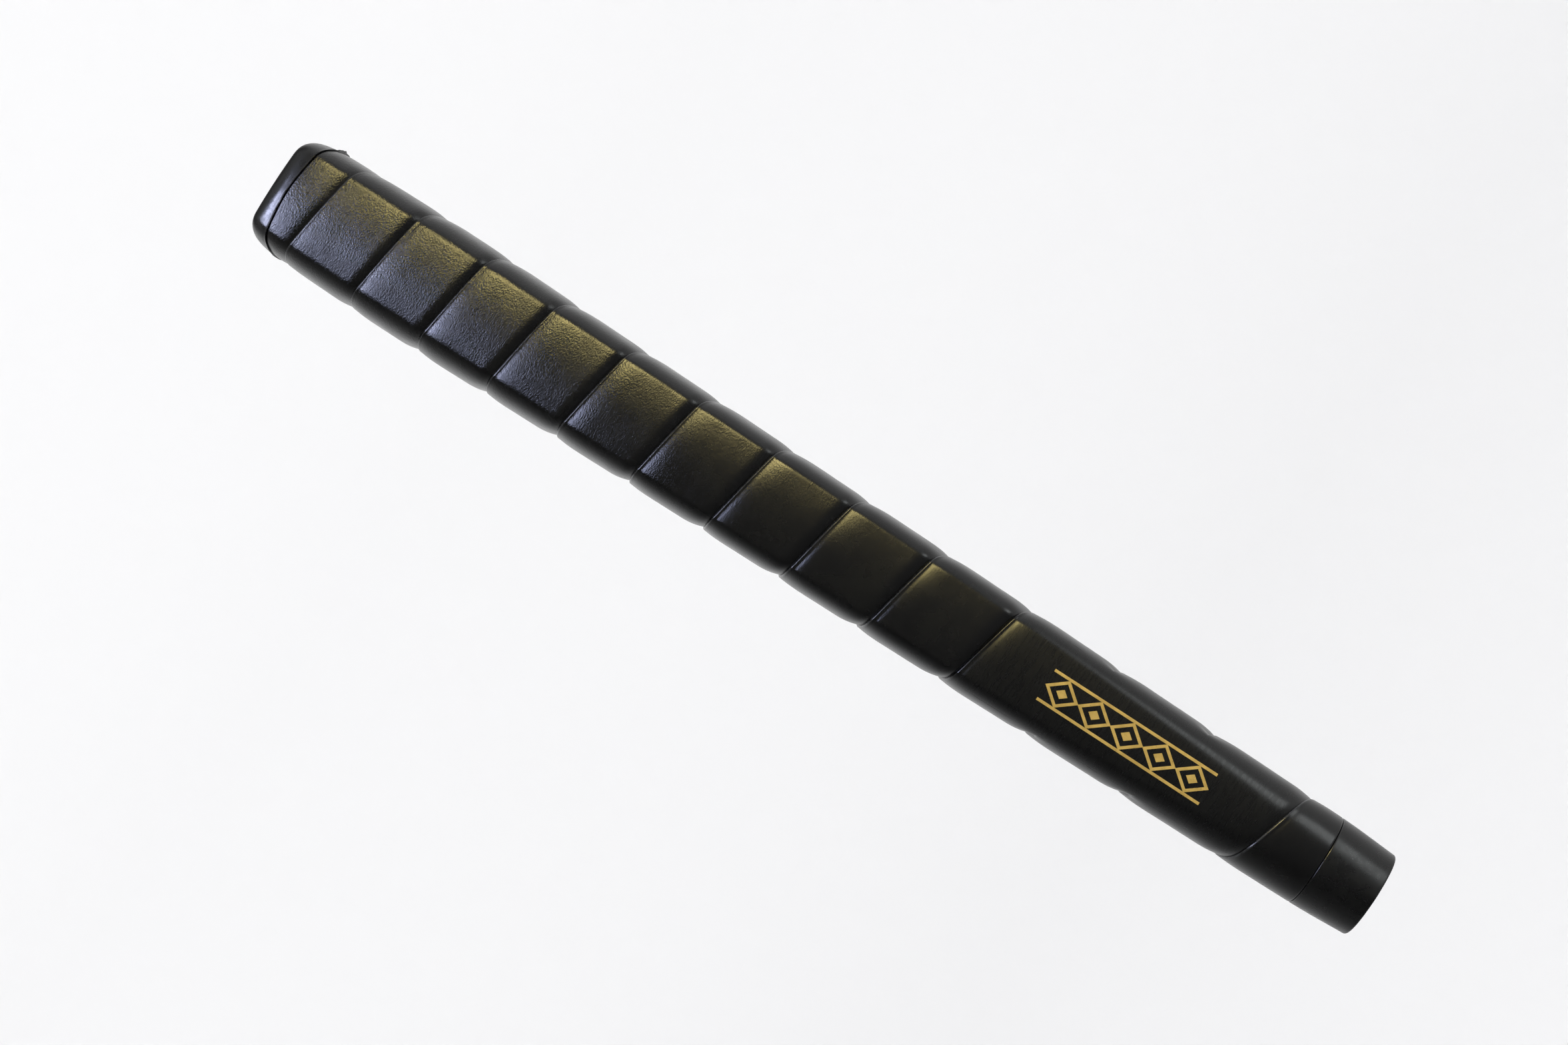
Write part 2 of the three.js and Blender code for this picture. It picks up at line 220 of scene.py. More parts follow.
def outline_table():
    """x, y, outward normal x and y, and the perimeter, by height and share."""
    heights = np.arange(0, LENGTH + Z_STEP, Z_STEP)
    sizes = {k: smooth_through(STATIONS["z"], STATIONS[k], heights) for k in STATIONS if k != "z"}
    shares = np.linspace(0, 1, SHARES + 1)
    table = np.empty((len(heights), SHARES + 1, 5))
    for row in range(len(heights)):
        points = outline(*(sizes[k][row] for k in ("half", "front", "back", "flat")))
        run = np.concatenate([[0], np.cumsum(np.hypot(*np.diff(points, axis=0).T))])
        x = np.interp(shares * run[-1], run, points[:, 0])
        y = np.interp(shares * run[-1], run, points[:, 1])
        dx = np.gradient(np.concatenate([x[-3:-1], x, x[1:3]]))[2:-2]
        dy = np.gradient(np.concatenate([y[-3:-1], y, y[1:3]]))[2:-2]
        size = np.hypot(dx, dy)
        table[row] = np.column_stack([x, y, -dy / size, dx / size, np.full(SHARES + 1, run[-1])])
    return table


TABLE = outline_table()
TABLE_END = len(TABLE) - 1.001      # just short of the last row, so that there is always a next one


def outline_at(z, share):
    """The table's five values at heights z and shares of the perimeter."""
    row = np.clip(np.asarray(z, float) / Z_STEP, 0, TABLE_END)
    column = (np.asarray(share, float) % 1) * SHARES
    row, column = np.broadcast_arrays(row, column)
    r, c = row.astype(int), np.minimum(column.astype(int), SHARES - 1)
    fr, fc = (row - r)[..., None], (column - c)[..., None]
    low = TABLE[r, c] * (1 - fc) + TABLE[r, c + 1] * fc
    high = TABLE[r + 1, c] * (1 - fc) + TABLE[r + 1, c + 1] * fc
    return low * (1 - fr) + high * fr


def seam_bow(z, share):
    """How far everything near the cap's seam moves up with the seam's wave."""
    from_front = abs(share - np.round(share))
    bow = SEAM_RISE * hump(from_front, SEAM_RISE_SHARE, SEAM_RISE_WIDTH)
    bow = bow - SEAM_DIP * hump(from_front, 0, SEAM_DIP_WIDTH)
    return bow * ease(1 - abs(z - CAP_FLANGE) / SEAM_REACH)


def on_grip(z, share, depth):
    """Points in metres in the part's frame, depth millimetres below the outline."""
    x, y, nx, ny, _ = np.moveaxis(outline_at(z, share), -1, 0)
    z = np.broadcast_to(z, x.shape)
    z = z + seam_bow(z, share)
    return np.stack([x - nx * depth, y - ny * depth + BORE_Y, z], -1) * MM


def bore_radius(z):
    return BORE_RADIUS_BUTT + (BORE_RADIUS_MOUTH - BORE_RADIUS_BUTT) * z / LENGTH


# ---- meshes from grids of points ----

SHARP_ANGLE = math.radians(42)


def mesh_piece(name, points, faces, material, strip=None):
    """A smooth-shaded object; strip is the place on the wound strip that its material reads."""
    mesh = bpy.data.meshes.new(name)
    mesh.from_pydata(np.asarray(points).tolist(), [], [list(map(int, f)) for f in faces])
    mesh.validate()
    mesh.update()
    if strip is not None:
        place = mesh.attributes.new("strip", "FLOAT_VECTOR", "POINT")
        place.data.foreach_set("vector", np.asarray(strip, np.float32).ravel())
    mesh.polygons.foreach_set("use_smooth", np.ones(len(mesh.polygons), bool))
    mesh.set_sharp_from_angle(angle=SHARP_ANGLE)
    mesh.materials.append(material)
    piece = bpy.data.objects.new(name, mesh)
    bpy.context.scene.collection.objects.link(piece)
    return piece


def grid_faces(rows, columns, join_rows, join_columns):
    r = np.arange(rows if join_rows else rows - 1)
    c = np.arange(columns if join_columns else columns - 1)
    r, c = (a.ravel() for a in np.meshgrid(r, c, indexing="ij"))
    r2, c2 = (r + 1) % rows, (c + 1) % columns
    corners = [r * columns + c, r * columns + c2, r2 * columns + c2, r2 * columns + c]
    return np.column_stack(corners)


def outwards(points, faces):
    """The same quads, turned if their closed surface faces inwards."""
    a, b, c, d = (points[faces[:, k]] for k in range(4))
    volume = np.einsum("ij,ij->", a, np.cross(b, c)) + np.einsum("ij,ij->", a, np.cross(c, d))
    return faces if volume > 0 else faces[:, ::-1]


def closed_tube(rings):
    """Points and faces of rings that follow each other round, the last joined to the first."""
    points = rings.reshape(-1, 3)
    return points, outwards(points, grid_faces(*rings.shape[:2], True, True)).tolist()


def with_hubs(sections):
    """The sections' rows, then the middle of the first section and of the last."""
    return np.vstack([sections.reshape(-1, 3), sections[0].mean(0), sections[-1].mean(0)])


def capped_tube(sections):
    """Points and faces of a section carried along a path, with a fan of faces at each end."""
    count, columns = sections.shape[:2]
    points = with_hubs(sections)
    quads = grid_faces(count, columns, False, True)
    turned = outwards(points, quads)
    flipped = turned is not quads
    faces = turned.tolist()
    for end, base in ((0, 0), (1, (count - 1) * columns)):
        hub = count * columns + end
        for c in range(columns):
            fan = [base + (c + 1) % columns, base + c, hub]
            faces.append(fan if (end == 1) == flipped else fan[::-1])
    return points, faces


# ---- the spiral wrap and the front panel ----

WRAP_START = CAP_FLANGE + 0.07
WRAP_END = COLLAR_START - 0.08
LEAST_STRIP = 0.08        # the strip's points at the cap and the collar end where it is this narrow
AROUND = 220              # rows of mesh for each turn of the wrap
ROW_GAP = 0.3 / AROUND
CORNER_CROWDING = 0.35
GROOVE_ROWS = 1801

# a turn's butt-side edge stands up in a rounded lip
LIP_WIDTH = 0.4
SWELL = 0.42              # how far a strip's middle stands above its butt-side edge
SWELL_WIDTH = 6.2
SOFT_POWER = 2.5          # how quickly a soft slope falls off
BEAD = 0.06               # the lip's crest, on the front; it loses BEAD_LOSS round the sides
BEAD_LOSS = 0.03
BEAD_PLACE = 0.40
BEAD_WIDTH = 0.26
HOLLOW = 0.05             # a dip behind the crest, on the front only
HOLLOW_PLACE = 0.95
HOLLOW_WIDTH = 0.4

# its mouth-side edge sinks under the next turn's lip: on the front, and what the sides add
FALL_WIDTH = 3.6
FALL_WIDTH_SIDE = 1.5
FALL_POWER = 3.6
FALL_POWER_SIDE = -1.4
FALL_EDGE_AWAY = 0.4      # that edge counts as this much further away, so that it gets less of the lighter edge colour (wear and painted lip highlight)

# how deep the grooves are along the wrap, as shares of the full depth
FIRST_GROOVE = 0.5
DEEPENS_AT = 0.2          # the winding where the first groove begins to deepen, over one turn
LAST_GROOVE = 0.6
SHALLOWS_AT = 11.3        # the winding where the last one begins to run out, over half a turn
SHALLOWS_OVER = 0.5
PANEL_FADE = 0.05         # the hidden grooves run out towards the panel over this share of a turn
FACE_SHARE = 0.1          # half of the front face
SIDE_BLEND = 0.1

# the wrap sinks a little at both ends
CAP_STEP, CAP_STEP_REACH = 0.18, 0.3
CAP_SINK, CAP_SINK_REACH = 0.32, 4.5
COLLAR_STEP, COLLAR_STEP_REACH = 0.16, 0.35

# height, cell along the strip, cell across it and seed of the leather's swells and wrinkles
LEATHER_WAVES = [(0.014, 9, 5, 1), (0.007, 3.7, 2.6, 2), (0.004, 2.4, 1.1, 3)]
PANEL_SMOOTHNESS = 0.6

# places across a strip, in millimetres from its lip, then steps for the rest
LIP_PLACES = [0, 0.05, 0.11, 0.18, 0.26, 0.35, 0.46, 0.6, 0.8, 1.05, 1.35, 1.7]
FALL_MESHED, FALL_STEP = 5.1, 0.26
MIDDLE_STEP, LEAST_MIDDLE = 0.45, 4
INNER_PLACES = 8


def groove_table():
    first, last = GROOVES["turn"][0], GROOVES["turn"][-1]
    turns = np.linspace(first - 1, last + 1, GROOVE_ROWS)
    heights = smooth_through(GROOVES["turn"], GROOVES["z"], np.clip(turns, first, last))
    heights = heights + PITCH_BEFORE * np.minimum(turns - first, 0)
    return turns, heights + PITCH_AFTER * np.maximum(turns - last, 0)


GROOVE_TURNS, GROOVE_HEIGHTS = groove_table()


def groove_height(turn):
    return np.interp(turn, GROOVE_TURNS, GROOVE_HEIGHTS)


def turn_at(winding):
    return winding - FRONT_SLOWING * np.sin(2 * np.pi * winding) / (2 * np.pi)


def groove_strength(winding):
    """1 where the groove is whole, falling to 0 where it would cross the front panel."""
    nearest = np.round(winding)
    hidden = (nearest > PANEL_FIRST_TURN) & (nearest < PANEL_FIRST_TURN + PANEL_TURNS)
    shown = FIRST_GROOVE + (1 - FIRST_GROOVE) * ease(winding - DEEPENS_AT)
    shown = shown - (1 - LAST_GROOVE) * ease((winding - SHALLOWS_AT) / SHALLOWS_OVER)
    return np.where(hidden, ease((abs(winding - nearest) - PANEL_HALF_WRAP) / PANEL_FADE), shown)


def side_share(winding):
    """0 across the front face, rising to 1 round the sides and the back."""
    from_front = abs(winding - np.round(winding))
    return ease((from_front - FACE_SHARE) / SIDE_BLEND)


def strip_depth(from_lip, from_fall, side, lip_strength, fall_strength):
    """Depth in millimetres below the outline, from the distances to the strip's two edges."""
    rounding = np.clip(1 - from_lip / LIP_WIDTH, 0, 1)
    lip = (GROOVE_DEPTH - SWELL) * (1 - np.sqrt(np.clip(1 - rounding ** 2, 0, 1)))
    lip = lip + SWELL * slope_off(from_lip, SWELL_WIDTH, SOFT_POWER)
    bead = -(BEAD - BEAD_LOSS * side) * hump(from_lip, BEAD_PLACE, BEAD_WIDTH)
    hollow = HOLLOW * (1 - side) * hump(from_lip, HOLLOW_PLACE, HOLLOW_WIDTH)
    fall_reach, fall_power = FALL_WIDTH + FALL_WIDTH_SIDE * side, FALL_POWER + FALL_POWER_SIDE * side
    fall = GROOVE_DEPTH * slope_off(from_fall, fall_reach, fall_power)
    return lip_strength * (lip + bead + hollow) + fall_strength * fall


def leather_waves(along, across):
    """Slow swells of the stretched skin and short wrinkles that cross the strip, in millimetres."""
    return sum(height * smooth_noise(along / u, across / v, seed) for height, u, v, seed in LEATHER_WAVES)


def end_depth(z):
    """How far the wrap sinks towards the cap and towards the collar."""
    cap_step = CAP_STEP * (1 - ease((z - WRAP_START) / CAP_STEP_REACH)) ** 2
    cap_sink = CAP_SINK * slope_off(z - WRAP_START, CAP_SINK_REACH, SOFT_POWER)
    collar_step = COLLAR_STEP * (1 - ease((WRAP_END - z) / COLLAR_STEP_REACH)) ** 2
    return cap_step + cap_sink + collar_step


def spread(width):
    """Places across a strip of that width, in millimetres, close together near its edges."""
    far = np.arange(0, FALL_MESHED, FALL_STEP)[::-1]
    plain = width - LIP_PLACES[-1] - far[0]
    middle = np.linspace(LIP_PLACES[-1], width - far[0], max(LEAST_MIDDLE, int(plain / MIDDLE_STEP)) + 1)
    return np.concatenate([LIP_PLACES, middle[1:-1], width - far])


def mesh_windings(start, end):
    """Rows of mesh between two windings, crowded at the corners of the outline."""
    first, last = int(np.floor(start * AROUND)), int(np.ceil(end * AROUND))
    even = np.arange(first, last + 1) / AROUND
    winding = even + CORNER_CROWDING * np.sin(6 * np.pi * even) / (6 * np.pi)
    inside = (winding > start + ROW_GAP) & (winding < end - ROW_GAP)
    return np.concatenate([[start], winding[inside], [end]])


def wound_piece(name, start, end, turns, material, smoothness=0.0, replaces=()):
    """The wrap between two windings, or the front panel where it is several turns wide."""
    winding = mesh_windings(start, end)
    bottom, top = groove_height(turn_at(winding)), groove_height(turn_at(winding) + turns)
    low, high = np.maximum(bottom, WRAP_START), np.minimum(top, WRAP_END)
    keep = high - low > LEAST_STRIP
    winding, bottom, top, low, high = (a[keep] for a in (winding, bottom, top, low, high))

    typical = float(np.median(top - bottom))
    places = spread(typical) / typical
    z = low[:, None] + (high - low)[:, None] * places[None, :]
    w = np.broadcast_to(winding[:, None], z.shape)
    from_lip, from_fall = z - bottom[:, None], top[:, None] - z
    perimeter = outline_at(z, w)[..., 4]
    along = np.cumsum(np.gradient(winding) * perimeter.mean(1))[:, None] + np.zeros_like(z)
    depth = strip_depth(from_lip, from_fall, side_share(w), groove_strength(w), groove_strength(w + turns))
    depth = depth + (1 - smoothness) * leather_waves(along, z) + end_depth(z)
    outer = on_grip(z, w, depth)

    inner_z = low[:, None] + (high - low)[:, None] * np.linspace(1, 0, INNER_PLACES)[None, :]
    inner_w = np.broadcast_to(winding[:, None], inner_z.shape)
    inner_along = np.broadcast_to(along[:, :1], inner_z.shape)
    place = np.stack([
        np.concatenate([along, inner_along], 1),
        np.concatenate([z, inner_z], 1),
        np.concatenate([np.minimum(from_lip, from_fall + FALL_EDGE_AWAY), inner_z * 0], 1),
    ], -1)
    points, faces = capped_tube(np.concatenate([outer, on_grip(inner_z, inner_w, SKIN)], axis=1))
    piece = mesh_piece(name, points, faces, material, with_hubs(place))
    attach(piece, "root")
    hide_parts(*replaces)
    return piece


def build_wrap(leather, satin):
    sides = (-PANEL_HALF_WRAP, PANEL_HALF_WRAP)
    first, last = PANEL_FIRST_TURN, PANEL_FIRST_TURN + PANEL_TURNS - 1
    spans = {"wrap_main": (WRAP_FIRST, first + sides[0])}
    for n in range(1, PANEL_TURNS):
        spans[f"wrap_band_{n}"] = (first + n - 1 + sides[1], first + n + sides[0])
    spans["wrap_tail"] = (last + sides[1], WRAP_LAST)
    for name, (start, end) in spans.items():
        piece = wound_piece(name + "_skin", start, end, 1, leather, replaces=[name])
    panel = wound_piece("front_panel_skin", first + sides[0], first + sides[1], PANEL_TURNS, satin,
                        smoothness=PANEL_SMOOTHNESS, replaces=["front_panel"])


# ---- end cap, core sleeve and mouth collar ----

RING_COLUMNS = 360
SHARE_RING = np.arange(RING_COLUMNS) / RING_COLUMNS

# thin moulding flash at the cap's parting line, most of it on the -X side
FLASH_LEAST = 0.1
FLASHES = [(0.6, 0.235, 0.03), (0.3, 0.275, 0.012)]     # height, share and width of each patch
FLASH_EVEN = 0.8
FLASH_UNEVEN = 0.35
FLASH_TEETH = 90
FLASH_SEED = 11

VENT_ROUND = 0.12
VENT_EDGE = 0.1
CUP_ROUND = 0.2
CUP_FILLET = 0.3
CAP_EDGE = 0.3            # the dome ends this far below the seam
CAP_SEAT = 0.02           # the face under the wrap stands this far above it

# profiles as pairs of rise and offset in millimetres; the cap's edge also has the flash's share
CAP_EDGE_PROFILE = [(-0.18, 0.12, 0.4), (-0.08, 0.1, 0.95), (-0.03, 0.1, 1.1), (0, 0.1, 1)]
CAP_SEAT_INSETS = (0.16, 1.2)
STEM_FOOT = [(CAP_SEAT, 0.35), (0.12, 0.1), (0.35, 0)]
STEM_TOP = [(-0.25, 0), (-0.07, -0.07), (0, -0.25)]
BARB = [(0, 0), (0.22, 0.86), (0.3, 1), (0.42, 0.96), (1.0, 0.5), (1.7, 0)]     # of BARB_HEIGHT
COLLAR_EDGE = [(0, 0.22), (0.03, 0.1), (0.12, 0.02)]
COLLAR_EDGE_END = 0.3
RIM_START = 0.6
SHOULDER_ROUND = 0.15
TIP_ROUND = 0.2

FACE_RINGS = 9
DOME_RINGS = 22
SLEEVE_RINGS = 64
BORE_RINGS = 80
COLLAR_RINGS = 22
RIM_OUTER_RINGS = 7
RIM_INNER_RINGS = 6
MOUTH_RINGS = 6
RIM_FACE_SHARES = (0.35, 0.7)


def outline_ring(z, inset=0.0):
    return on_grip(np.full(RING_COLUMNS, float(z)), SHARE_RING, inset)


def round_ring(z, radius):
    """A circle about the bore axis, its points in line with the outline's."""
    height = np.full(RING_COLUMNS, float(z))
    x, y = outline_at(height, SHARE_RING)[:, :2].T
    turn = np.arctan2(y, x)
    return np.column_stack([radius * np.cos(turn), radius * np.sin(turn) + BORE_Y, height]) * MM


def mixed_ring(z, inset, radius, share):
    """Between the outline moved inwards and a circle."""
    return outline_ring(z, inset) * (1 - share) + round_ring(z, radius) * share


def ring_piece(name, rings, material):
    """Rings that follow each other round a wall's section."""
    points, faces = closed_tube(np.asarray(rings))
    return mesh_piece(name, points, faces, material)


def build_end_cap(material):
    flash = FLASH_LEAST + sum(high * hump(SHARE_RING, at, wide) for high, at, wide in FLASHES)
    uneven = smooth_noise(SHARE_RING * FLASH_TEETH, SHARE_RING * 0, FLASH_SEED)
    flash = flash * (FLASH_EVEN + FLASH_UNEVEN * uneven)
    rings = [round_ring(VENT_ROUND, VENT_RADIUS), round_ring(0, VENT_RADIUS + VENT_ROUND)]
    for share in np.linspace(0.9, 0.1, FACE_RINGS):
        rings.append(mixed_ring(0, CAP_DOME_INSET, VENT_RADIUS, share))
    seam_angle = math.acos(1 - (CAP_FLANGE - CAP_EDGE) / CAP_DOME_HEIGHT)
    for angle in np.linspace(0, seam_angle, DOME_RINGS):
        inset = CAP_DOME_INSET * (1 - math.sin(angle))
        rings.append(outline_ring(CAP_DOME_HEIGHT * (1 - math.cos(angle)), inset))
    for rise, inset, share in CAP_EDGE_PROFILE:
        rings.append(outline_ring(CAP_FLANGE + rise, inset - share * flash))
    rings += [outline_ring(CAP_FLANGE + CAP_SEAT, inset) for inset in CAP_SEAT_INSETS]

    root = bore_radius(CAP_FLANGE) - STEM_PLAY - BARB_HEIGHT
    rings += [round_ring(CAP_FLANGE + rise, root + out) for rise, out in STEM_FOOT]
    for n in range(BARBS):
        z = CAP_FLANGE + STEM_LENGTH * (n + 0.5) / BARBS
        rings += [round_ring(z + rise, root + BARB_HEIGHT * out) for rise, out in BARB]
    top, floor = CAP_FLANGE + STEM_LENGTH, CAP_FLANGE + STEM_FLOOR
    rings += [round_ring(top + rise, root + out) for rise, out in STEM_TOP]
    rings += [round_ring(top, STEM_CUP_RADIUS + CUP_ROUND), round_ring(top - CUP_ROUND, STEM_CUP_RADIUS)]
    rings.append(round_ring(floor + CUP_FILLET, STEM_CUP_RADIUS))
    rings.append(round_ring(floor, STEM_CUP_RADIUS - CUP_FILLET))
    rings += [round_ring(floor, VENT_RADIUS + VENT_EDGE), round_ring(floor - VENT_EDGE, VENT_RADIUS)]
    piece = ring_piece("end_cap_rubber", rings, material)
    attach(piece, "root")
    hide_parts("end_cap")


def build_core_sleeve(material):
    low, high = CAP_FLANGE + CLEARANCE, COLLAR_START - CLEARANCE
    tip = high + SPIGOT_LENGTH
    shoulder, spigot = bore_radius(high) + SPIGOT_WALL, bore_radius(tip) + SPIGOT_WALL
    rings = [outline_ring(z, SKIN + CLEARANCE) for z in np.linspace(low, high, SLEEVE_RINGS)]
    rings += [round_ring(high, shoulder + SHOULDER_ROUND), round_ring(high + SHOULDER_ROUND, shoulder)]
    rings += [round_ring(tip - TIP_ROUND, spigot), round_ring(tip, spigot - TIP_ROUND)]
    rings += [round_ring(z, bore_radius(z)) for z in np.linspace(tip, low, BORE_RINGS)]
    piece = ring_piece("core_sleeve_rubber", rings, material)
    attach(piece, "root")
    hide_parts("core_sleeve")


def build_mouth_collar(material):
    seat = COLLAR_START + SPIGOT_LENGTH
    socket = bore_radius(seat) + SPIGOT_WALL + CLEARANCE
    rings = [outline_ring(COLLAR_START + rise, inset) for rise, inset in COLLAR_EDGE]
    for z in np.linspace(COLLAR_START + COLLAR_EDGE_END, LENGTH - RIM_START, COLLAR_RINGS):
        rings.append(outline_ring(z))
    for angle in np.linspace(0, math.pi / 2, RIM_OUTER_RINGS):
        height = LENGTH - RIM_ROUND * (1 - math.sin(angle))
        rings.append(outline_ring(height, RIM_ROUND * (1 - math.cos(angle))))
    inner_edge = bore_radius(LENGTH) + RIM_ROUND
    rings += [mixed_ring(LENGTH, RIM_ROUND, inner_edge, share) for share in RIM_FACE_SHARES]
    for angle in np.linspace(0, math.pi / 2, RIM_INNER_RINGS):
        radius = bore_radius(LENGTH) + RIM_ROUND * (1 - math.sin(angle))
        rings.append(round_ring(LENGTH - RIM_ROUND * (1 - math.cos(angle)), radius))
    rings += [round_ring(z, bore_radius(z)) for z in np.linspace(LENGTH - RIM_START, seat, MOUTH_RINGS)]
    rings += [round_ring(seat, socket), round_ring(COLLAR_START, socket)]
    piece = ring_piece("mouth_collar_rubber", rings, material)
    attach(piece, "root")
    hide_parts("mouth_collar")


# ---- foil ornament: open lozenges between two rules, stamped on the front panel ----

FOIL_TOP = -0.05          # depths below the panel's outline, so a negative one stands proud of it
FOIL_BASE = 0.03
FOIL_EDGE_DROP = 0.012
RULE_STEPS = 120
RULE_COLUMNS = 5
LOZENGE_STROKE = 0.62
LOZENGE_COLUMNS = 4
LOZENGE_STEPS = 80
CORE_SIZE = 0.34          # of the small lozenge in the middle of each large one
CORE_HOLE = 0.02
CORE_COLUMNS = 6


def on_front(x, z, depth):
    perimeter = outline_at(z, 0.0 * z)[..., 4]
    return on_grip(z, -x / perimeter, depth)


def stamp(x, z, closed):
    """A thin solid over a grid of places on the front, each row of x and z across the stamped line."""
    top, base = on_front(x, z, FOIL_TOP), on_front(x, z, FOIL_BASE)
    rim = on_front(x, z, FOIL_TOP + FOIL_EDGE_DROP)
    sections = np.concatenate([rim[:, :1], top[:, 1:-1], rim[:, -1:], base[:, ::-1]], axis=1)
    return closed_tube(sections) if closed else capped_tube(sections)


def lozenge(centre, half_x, half_z, hole, columns):
    """Grid of places between a lozenge and its hole, whose size is a share of the lozenge's."""
    turn = np.linspace(0, 1, LOZENGE_STEPS, endpoint=False)
    corners = [0, 0.25, 0.5, 0.75, 1]
    x = np.interp(turn, corners, [0, 1, 0, -1, 0])
    z = np.interp(turn, corners, [-1, 0, 1, 0, -1])
    sizes = np.linspace(1, hole, columns)
    return x[:, None] * half_x * sizes, centre + z[:, None] * half_z * sizes


def build_foil(material):
    reach = FOIL_WIDTH / 2
    inner = reach - FOIL_RULE
    step = FOIL_LENGTH / LOZENGES
    along = np.linspace(FOIL_START, FOIL_START + FOIL_LENGTH, RULE_STEPS)
    rules = [np.meshgrid(side * np.linspace(inner, reach, RULE_COLUMNS), along) for side in (-1, 1)]
    stamped = [stamp(x, z, False) for x, z in rules]
    half_x, half_z = inner + LOZENGE_OVERLAP, step / 2 + LOZENGE_OVERLAP
    hole = 1 - LOZENGE_STROKE * math.hypot(1 / half_x, 1 / half_z)
    for n in range(LOZENGES):
        centre = FOIL_START + step * (n + 0.5)
        large = lozenge(centre, half_x, half_z, hole, LOZENGE_COLUMNS)
        small = lozenge(centre, half_x * CORE_SIZE, half_z * CORE_SIZE, CORE_HOLE, CORE_COLUMNS)
        stamped += [stamp(*large, True), stamp(*small, True)]
    faces, base = [], 0
    for points, own_faces in stamped:
        faces += [[base + i for i in face] for face in own_faces]
        base += len(points)
    piece = mesh_piece("foil_stamp", np.vstack([points for points, _ in stamped]), faces, material)
    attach(piece, "root")
    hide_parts("foil_ornament")


# ---- materials ----

# each surface has two colours that it drifts between; relief is in metres, scales are per millimetre
LEATHER = ((0.0020, 0.0020, 0.0020, 1), (0.0031, 0.0030, 0.0029, 1))
LEATHER_ROUGHNESS = (0.24, 0.30)
LEATHER_RELIEF = 0.000042
# lighter colour along the strips' edges: partly wear, partly a painted highlight where the lips catch light
LEATHER_EDGE_WEAR_AND_HIGHLIGHT = (0.034, 0.035, 0.038, 1)
LEATHER_DUST = (0.16, 0.15, 0.14, 1)
WRINKLE_SCALE = (0.7, 3.0, 0)
PEBBLE_SCALE = (2.8, 4.3, 0)
GRAIN_FADE = {"low": 5, "high": 190, "to_low": 1.0, "to_high": 0.12}    # along the grip, from the butt
SATIN = ((0.0018, 0.0018, 0.0018, 1), (0.0028, 0.0028, 0.0027, 1))
SATIN_ROUGHNESS = (0.27, 0.34)
SATIN_RELIEF = 0.000012
SATIN_DUST = (0.14, 0.14, 0.13, 1)
SCUFF_SCALE = (0.25, 1.6, 0)
CAP_RUBBER = {"colours": ((0.0036, 0.0039, 0.0046, 1), (0.0050, 0.0053, 0.0060, 1)),
              "roughness": (0.26, 0.34), "relief": 0.000006}
COLLAR_RUBBER = {"colours": ((0.0024, 0.0024, 0.0025, 1), (0.0034, 0.0034, 0.0034, 1)),
                 "roughness": (0.26, 0.34), "relief": 0.000006}
CORE_RUBBER = {"colours": ((0.010, 0.010, 0.0095, 1), (0.015, 0.0145, 0.014, 1)),
               "roughness": (0.6, 0.75), "relief": 0.00002}
RUBBER_DUST = (0.14, 0.14, 0.14, 1)
FOIL = ((0.58, 0.38, 0.088, 1), (0.72, 0.485, 0.12, 1))
FOIL_WORN = (0.10, 0.07, 0.03, 1)
FOIL_ROUGHNESS = (0.3, 0.46)
FOIL_METAL = 0.3
FOIL_RELIEF = 0.00001


class Nodes:
    """A node tree, built by name: settings are a node's own, inputs are its sockets."""

    def __init__(self, tree):
        self.tree = tree

    def node(self, kind, inputs=(), **settings):
        made = self.tree.nodes.new("ShaderNode" + kind)
        for key, value in settings.items():
            setattr(made, key, value)
        for key, value in dict(inputs).items():
            self.feed(made.inputs[key], value)
        return made

    def feed(self, socket, value):
        if isinstance(value, bpy.types.NodeSocket):
            self.tree.links.new(value, socket)
        else:
            socket.default_value = value

    def calc(self, operation, a, b=0.0, c=0.0):
        made = self.node("Math", operation=operation)
        for socket, value in zip(made.inputs, (a, b, c)):
            self.feed(socket, value)
        return made.outputs[0]

    def remap(self, value, low, high, to_low=0.0, to_high=1.0, curve="SMOOTHSTEP"):
        inputs = {"Value": value, "From Min": low, "From Max": high, "To Min": to_low, "To Max": to_high}
        return self.node("MapRange", inputs, interpolation_type=curve).outputs[0]

    def mix(self, share, a, b, blend="MIX"):
        return self.node("MixRGB", {"Fac": share, "Color1": a, "Color2": b}, blend_type=blend).outputs[0]


